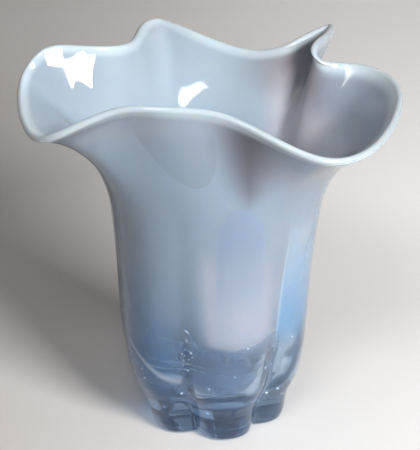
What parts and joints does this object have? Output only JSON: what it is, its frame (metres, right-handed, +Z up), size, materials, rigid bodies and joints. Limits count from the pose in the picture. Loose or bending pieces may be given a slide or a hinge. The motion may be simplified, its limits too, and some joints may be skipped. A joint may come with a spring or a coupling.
{
  "type": "vase",
  "caption": "Blown opal glass vase with a thick clear foot, a softly lobed body and a wide flaring rim crimped into deep waves.",
  "frame": {"origin": "centre of the flat underside of the foot, on the surface the vase stands on", "axes": "+Z up the vase, +X to the right and +Y away from the viewer in the picture's view"},
  "size_m": [0.2199, 0.1926, 0.223],
  "materials": {
    "opal_glass": "fire-polished, milky blue opal fading to clear blue at the foot"
  },
  "bodies": {
    "root": {"vase": "opal_glass"}
  },
  "joints": []
}
